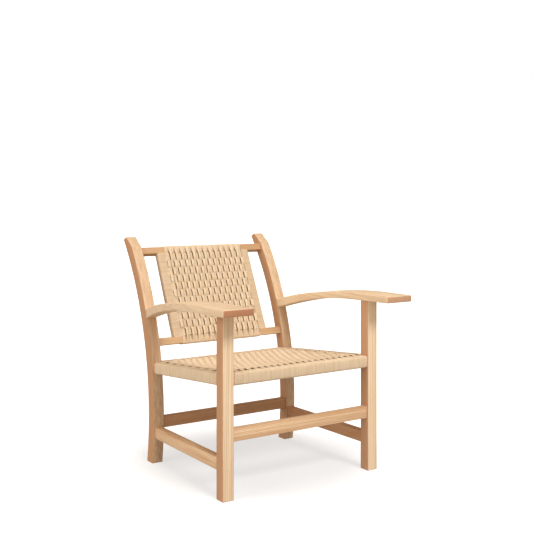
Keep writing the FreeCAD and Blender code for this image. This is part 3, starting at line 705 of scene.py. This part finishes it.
def seat_middle(x, y):
    """The middle of the weave, sagging between the rails."""
    share = np.clip((y - front_high.y) / (rear_low.y - front_high.y), 0, 1)
    across = 1 - np.abs(np.clip(x / SAG_HALF, -1, 1)) ** 3
    return seat_top(y) - SEAT_SAG * 4 * share * (1 - share) * across


warps = []
row_edges = [ROWS_FROM + row * ROW_PITCH for row in range(SEAT_ROWS + 1)]
y = stations(row_edges, WARP_STEPS)[1:-1]
y = np.concatenate([FRONT_MIDDLE.y + TOP_IN + STEP_IN, y, (REAR_MIDDLE.y - TOP_IN - STEP_IN)[::-1]])
part = (y - FRONT_MIDDLE.y) / (REAR_MIDDLE.y - FRONT_MIDDLE.y)
total = (SEAT_UNITS + 1) * SEAT_UNIT_CORDS
loose = front_high.x * 2 / total
half_unit = (SEAT_UNIT_CORDS - 1) / 2
# The first and the last group have half their cords, which draw together about their own middle.
for count in range(total):
    unit, strand = divmod(count + SEAT_UNIT_CORDS // 2, SEAT_UNIT_CORDS)
    offset = strand - half_unit
    if unit == 0:
        offset -= 1
    if unit == SEAT_UNITS + 1:
        offset += 1
    first = 1 if unit % 2 == 0 else -1
    wave = over_under((y - ROWS_FROM) / ROW_PITCH, first, TURN / ROW_PITCH, LEAN / ROW_PITCH, SEAT_ROWS)
    rise = level(wave, WARP_OVER, WARP_UNDER)
    at_edge = strand in (0, SEAT_UNIT_CORDS - 1)
    rise[:WAY_IN] = way_in(first, at_edge)
    rise[-WAY_IN:] = way_in(-first, at_edge)[::-1]
    # Painted shade where the cord runs under crossing cords, and at the holes by the rails, lighter on a
    # group's edge cords.
    shade_paint = painted_shade_share(wave, CROSSING_SHADE)
    dark = EDGE_PAINTED_SHADE if at_edge else 1
    shade_paint[:WAY_IN, 0] = PAINTED_SHADE_IN[first] * dark
    shade_paint[-WAY_IN:, 0] = PAINTED_SHADE_IN[-first][::-1] * dark
    share = (count + 0.5) / total * 2 - 1
    front_x, rear_x = share * front_high.x, share * rear_high.x
    off_front = smooth((y - front_high.y + ON_RAIL) / WARP_SETTLE)
    off_rear = smooth((rear_low.y + ON_RAIL - y) / WARP_SETTLE)
    settle = off_front * off_rear * np.clip(wave, 0, 1)
    x = front_x + (rear_x - front_x) * part - offset * (loose - WARP_TIGHT) * settle
    x = x + jitter.normal(0, WARP_JITTER, len(y)) * settle
    z = seat_middle(x, y) + rise + WARP_DOME * (1 - (offset / half_unit) ** 2) * settle
    front = round_rail(front_x, FRONT_MIDDLE.y, FRONT_MIDDLE.z, (0, 1, 0))
    rear = round_rail(rear_x, REAR_MIDDLE.y, REAR_MIDDLE.z, (0, -1, 0))[::-1]
    warps.append(whole_cord(front, np.stack([x, y, z], -1), rear, shade_paint))
third = len(warps) // 3 + 1
for count, name in enumerate(("right", "middle", "left")):
    cords("seat_warp_" + name, warps[count * third:(count + 1) * third], (1, 0, 0),
          ("seat_front_wrap", "seat_rear_wrap", "seat_woven_panel"))


def side_middle(y):
    """The middle of the left side rail at a place from front to rear."""
    share = (y - side_low.y) / (side_high.y - side_low.y)
    outer = side_high.x - RAIL_DEPTH / 2
    inner = side_low.x + RAIL_DEPTH / 2
    return outer + (inner - outer) * share


# Behind the holes at the front rail, the first cords of the first row rise and carry painted shade.
wefts = []
wefts_on_side = SEAT_ROWS * SEAT_ROW_CORDS
SIDE_WRAP_FROM = side_low.y
SIDE_WRAP_GAP = 0.005
SIDE_WRAP_TO = post_front(rear_low.z) - SIDE_WRAP_GAP
for row in range(SEAT_ROWS):
    middle_y = ROWS_FROM + (row + 0.5) * ROW_PITCH
    part = (middle_y - FRONT_MIDDLE.y) / (REAR_MIDDLE.y - FRONT_MIDDLE.y)
    half = front_high.x + (rear_high.x - front_high.x) * part
    unit = half * 2 / (SEAT_UNITS + 1)
    edges = [-half] + [-half + unit * (count + 0.5) for count in range(SEAT_UNITS + 1)] + [half]
    first = -1 if row % 2 == 0 else 1
    for strand in range(SEAT_ROW_CORDS):
        offset = strand - (SEAT_ROW_CORDS - 1) / 2
        share = (row * SEAT_ROW_CORDS + strand + 0.5) / wefts_on_side
        side_y = SIDE_WRAP_FROM + share * (SIDE_WRAP_TO - SIDE_WRAP_FROM)
        row_y = middle_y + offset * WEFT_TIGHT
        side_x = side_middle(side_y)
        face = side_x - RAIL_DEPTH / 2
        x = stations(edges, WEFT_STEPS)[1:-1]
        ends = side_x - TOP_IN - STEP_IN
        x = np.concatenate([-ends, x, ends[::-1]])
        cell = np.interp(x, edges, np.arange(SEAT_UNITS + 3))
        wave = over_under(cell, first, TURN / unit, LEAN / unit, SEAT_UNITS + 2)
        lift = FRONT_LIFT * max(0, 1 - strand / FRONT_LIFTED) if row == 0 else 0
        rise = level(wave, WEFT_OVER + lift, WEFT_UNDER)
        sink = way_in(first, strand in (0, SEAT_ROW_CORDS - 1))
        rise[:WAY_IN], rise[-WAY_IN:] = sink, sink[::-1]
        # Painted shade where the cord runs under crossing cords and at the holes by the side rails, and on
        # the first row's first cords behind the front holes.
        shade_paint = painted_shade_share(wave)
        if row == 0 and strand < FRONT_SHADED:
            shade_paint[:, 0] = np.clip(wave * 2 - 1, 0, 1) * (1 - strand / FRONT_LIFTED)
        shade_paint[:WAY_IN, 0], shade_paint[-WAY_IN:, 0] = PAINTED_SHADE_IN[first], PAINTED_SHADE_IN[first][::-1]
        settle = smooth((face + ON_RAIL - np.abs(x)) / WEFT_SETTLE)
        y = side_y + (row_y - side_y) * settle + jitter.normal(0, WEFT_JITTER, len(x)) * settle
        z = seat_middle(x, y) + rise
        side_z = seat_top(side_y) + CORD_RADIUS - RAIL_HEIGHT / 2
        right = round_rail(-side_x, side_y, side_z, (1, 0, 0))
        left = round_rail(side_x, side_y, side_z, (-1, 0, 0))[::-1]
        wefts.append(whole_cord(right, np.stack([x, y, z], -1), left, shade_paint))
third = len(wefts) // 3 + 1
for count, name in enumerate(("front", "middle", "rear")):
    cords("seat_weft_" + name, wefts[count * third:(count + 1) * third], (0, -1, 0),
          ("seat_side_wrap_left", "seat_side_wrap_right", "seat_woven_panel"))

# The back is the same weave on its own frame of two rails and two stiles. Its groups of warp draw together
# and a little aside where they lie on top, so that a slot opens beside each, darkened by painted shade on the
# groups' edge cords.
BACK_UNITS = 27
BACK_ROWS = 11
BACK_ROW_CORDS = 9
BACK_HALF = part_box("back_top_wrap")[1].x
STILE_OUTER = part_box("back_stile_wrap_left")[1].x
STILE_DEPTH = 0.023
STILE_CORNER = 0.0055
STILE_BACK = 0.0022
BACK_WEFT_RADIUS = 0.0015
BACK_WEFT_TIGHT = 0.0027
BACK_WEFT_STEPS = [0.0004, 0.0022, 0.0058]
BACK_OVER = 0.0029
BACK_ASIDE = 0.0005
BACK_EDGE_PAINTED_SHADE = 0.8
BACK_TURN_CORNER = 0.0043
BACK_MARGIN = 0.004
BACK_RISE = 0.005
BEFORE_RISE = 0.001
STILE_STEPS = np.array([0, 0.002, 0.004, 0.0055])
low_middle, low_up, low_forward = rail_axes("back_bottom_rail")
top_middle, top_up, top_forward = rail_axes("back_top_rail")
half = BACK_RAIL / 2 + CORD_RADIUS
back_turn = rail_turn(half, half, BACK_TURN_CORNER)
low_turn = low_middle + back_turn[:, :1] * low_up + back_turn[:, 1:] * low_forward
top_turn = (top_middle - back_turn[:, :1] * top_up + back_turn[:, 1:] * top_forward)[::-1]
leave = low_middle + half * low_forward + (half - BACK_TURN_CORNER) * low_up
arrive = top_middle + half * top_forward - (half - BACK_TURN_CORNER) * top_up
plane_up = (arrive - leave) / np.linalg.norm(arrive - leave)
plane_forward = np.array([0, -plane_up[2], plane_up[1]])
run_length = np.linalg.norm(arrive - leave)
BACK_FROM, BACK_TO = BACK_MARGIN, run_length - BACK_MARGIN
BACK_PITCH = (BACK_TO - BACK_FROM) / BACK_ROWS
loose = BACK_HALF * 2 / (BACK_UNITS * 4 + 2)
# The first and the last group have a fifth cord. Each draws towards its outer side.
warps = []
columns = []
for unit in range(BACK_UNITS):
    total = 5 if unit in (0, BACK_UNITS - 1) else 4
    columns += [(unit, strand - (total - 1) / 2, (total - 1) / 2) for strand in range(total)]
row_edges = [BACK_FROM + row * BACK_PITCH for row in range(BACK_ROWS + 1)]
along = stations(row_edges, WARP_STEPS)[1:-1]
edge = np.array([0, BACK_MARGIN / 2, BACK_MARGIN])
along = np.concatenate([edge, along, run_length - edge[::-1]])
off_low = smooth((along + BEFORE_RISE) / BACK_RISE)
off_top = smooth((run_length + BEFORE_RISE - along) / BACK_RISE)
inside = off_low * off_top
for count, (unit, offset, half_unit) in enumerate(columns):
    rail_x = (count + 0.5) * loose - BACK_HALF
    first = -1 if unit % 2 == 0 else 1
    cell = (along - BACK_FROM) / BACK_PITCH
    wave = over_under(cell, first, TURN / BACK_PITCH, LEAN / BACK_PITCH, BACK_ROWS)
    settle = np.clip(wave, 0, 1)
    pull = offset * (loose - WARP_TIGHT) - BACK_ASIDE
    if unit == 0:
        pull = (offset + 1) * (loose - WARP_TIGHT)
    if unit == BACK_UNITS - 1:
        pull = (offset - 1) * (loose - WARP_TIGHT)
    x = rail_x - pull * settle + jitter.normal(0, WARP_JITTER, len(along)) * inside
    dome = WARP_DOME * (1 - (offset / half_unit) ** 2)
    deep = (level(wave, BACK_OVER, WARP_UNDER) + dome * settle) * inside
    weave = leave + along[:, None] * plane_up + deep[:, None] * plane_forward
    weave[:, 0] = x
    low, top = low_turn.copy(), top_turn.copy()
    low[:, 0], top[:, 0] = rail_x, rail_x
    # Painted shade where a cord runs under the weft: strong on each group's edge cord beside its slot, weaker
    # on the others and only inside the weave.
    if offset == half_unit:
        shade_paint = painted_shade_share(wave, BACK_EDGE_PAINTED_SHADE)
    else:
        shade_paint = painted_shade_share(wave, CROSSING_SHADE) * inside[:, None]
    warps.append(whole_cord(low, weave, top, shade_paint))
cords("back_warp", warps, (1, 0, 0), ("back_bottom_wrap", "back_top_wrap", "back_woven_panel"))

stile_half = ((STILE_OUTER - BACK_HALF) / 2 - CORD_RADIUS, STILE_DEPTH / 2 - CORD_RADIUS)
stile_turn = rail_turn(*stile_half, STILE_CORNER)
stile_x = (STILE_OUTER + BACK_HALF) / 2
unit_edges = [-BACK_HALF + loose * (5 + 4 * count) for count in range(BACK_UNITS - 1)]
unit_edges = [-BACK_HALF] + unit_edges + [BACK_HALF]
x = stations(unit_edges, BACK_WEFT_STEPS)[1:-1]
ends = stile_x - stile_half[0] + STILE_CORNER - STILE_STEPS
x = np.concatenate([-ends, x, ends[::-1]])
cell = np.interp(x, unit_edges, np.arange(BACK_UNITS + 1))


def from_side(start, length):
    """0 up to a start inside the woven back's side, and 1 a length farther in."""
    return smooth((BACK_HALF - start - np.abs(x)) / length)


# Going in from the stile, a weft climbs to its full height, carries painted shade where it goes below, and
# finds its place in its row.
inside = from_side(-0.0025, 0.0035) * (0.5 + 0.5 * from_side(0, 0.010))
painted_shade_inside = from_side(0.0020, 0.0016)
settle = from_side(0.003, 0.012)
wefts = []
total = BACK_ROWS * BACK_ROW_CORDS
for row in range(BACK_ROWS):
    wave = over_under(cell, 1 if row % 2 == 0 else -1, TURN / loose / 4, LEAN / loose / 4, BACK_UNITS)
    # Painted shade where the weft runs under the warps, only inside the woven part.
    shade_paint = painted_shade_share(wave) * painted_shade_inside[:, None]
    for strand in range(BACK_ROW_CORDS):
        offset = strand - (BACK_ROW_CORDS - 1) / 2
        stile_along = (row * BACK_ROW_CORDS + strand + 0.5) / total * run_length
        row_along = BACK_FROM + (row + 0.5) * BACK_PITCH + offset * BACK_WEFT_TIGHT
        along = stile_along + (row_along - stile_along) * settle
        along = along + jitter.normal(0, WEFT_JITTER, len(x)) * settle
        deep = level(wave, WEFT_OVER, WEFT_UNDER) * inside - STILE_BACK * (1 - settle)
        weave = leave + along[:, None] * plane_up + deep[:, None] * plane_forward
        weave[:, 0] = x
        centre = leave + stile_along * plane_up - (STILE_BACK + stile_half[1]) * plane_forward
        right = centre + stile_turn[:, 1:] * plane_forward
        left = right.copy()
        right[:, 0] = -stile_x + stile_turn[:, 0]
        left[:, 0] = stile_x - stile_turn[:, 0]
        wefts.append(whole_cord(right, weave, left[::-1], shade_paint))
lower = BACK_ROWS // 2 * BACK_ROW_CORDS
for name, half_back in (("lower", wefts[:lower]), ("upper", wefts[lower:])):
    cords("back_weft_" + name, half_back, -plane_up,
          ("back_stile_wrap_left", "back_stile_wrap_right", "back_woven_panel"), BACK_WEFT_RADIUS)

# Flat-headed steel tacks hold the cord's ends on the rails' hidden faces. They keep the frame's solids.
steel, start, shader = shade("steel_plain")
place = start.make("TexCoord", output="Object")
scratches = start.make("TexNoise", None, {"Vector": place, "Scale": 900})
feed(shader, "Roughness", 0.32 + scratches * 0.2)
shader.inputs["Base Color"].default_value = (0.55, 0.55, 0.56, 1)
shader.inputs["Metallic"].default_value = 1
for name in ("seat_cord_tacks", "back_cord_tacks"):
    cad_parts[name].data.materials.clear()
    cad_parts[name].data.materials.append(steel)

# A plain floor shows the shadow near the chair and turns white farther off. The key light comes from the
# front at half height, and a wide one lies low at the sitter's right-hand side. Two weak ones come from the
# front and from above, and the room gives a warm rest.
FLOOR_NEAR = (0.57, 0.585, 0.595, 1)
SHADE_FROM, SHADE_TO = 0.28, 0.62
ROOM = (0.42, 0.325, 0.25, 1)
WHITE, BLACK = (1, 1, 1, 1), (0, 0, 0, 1)
bpy.ops.object.select_all(action="DESELECT")
bpy.ops.mesh.primitive_plane_add(size=60, location=(0, 0, 0))
floor = bpy.context.object
floor.name = "floor"
floor_material, start, shader = shade("floor_white")
shader.inputs["Roughness"].default_value = 0.9
shader.inputs["Specular IOR Level"].default_value = 0.0
shader.inputs["Base Color"].default_value = (0.42, 0.41, 0.40, 1)
shader.inputs["Emission Strength"].default_value = 1
seen = start.make("LightPath", output="Is Camera Ray")
place = start.make("TexCoord", output="Object")
away = start.make("VectorMath", {"operation": "LENGTH"}, {0: place}, output="Value")
seen_floor = blend(start, away.between(SHADE_FROM, SHADE_TO), FLOOR_NEAR, WHITE)
feed(shader, "Emission Color", blend(start, seen, BLACK, seen_floor))
floor.data.materials.append(floor_material)

world = bpy.data.worlds.new("room")
bpy.context.scene.world = world
world.use_nodes = True
start = Value(world.node_tree)
background = world.node_tree.nodes["Background"]
seen = start.make("LightPath", output="Is Camera Ray")
room = blend(start, seen, ROOM, WHITE)
world.node_tree.links.new(room.socket, background.inputs["Color"])
background.inputs["Strength"].default_value = 1


def lamp(name, height, aside, spread, power, tint):
    """A lamp far away. Height is its angle from the floor, aside its angle from the chair's front towards
    the sitter's right-hand side, and spread the angle that it fills, all in degrees."""
    light = bpy.data.lights.new(name, "SUN")
    light.angle = math.radians(spread)
    light.energy = power
    light.color = tint
    thing = bpy.data.objects.new(name, light)
    thing.rotation_euler = (math.radians(90 - height), 0, math.radians(-aside))
    bpy.context.collection.objects.link(thing)


lamp("key", 42, 0, 18, 1.55, (0.98, 0.99, 1))
lamp("front", 15, 25, 60, 0.45, (1, 0.98, 0.96))
lamp("top", 80, 20, 50, 0.6, (1, 0.98, 0.96))
lamp("side", 12, 88, 50, 1.4, (1, 0.98, 0.95))

bpy.context.scene.view_settings.view_transform = "Standard"
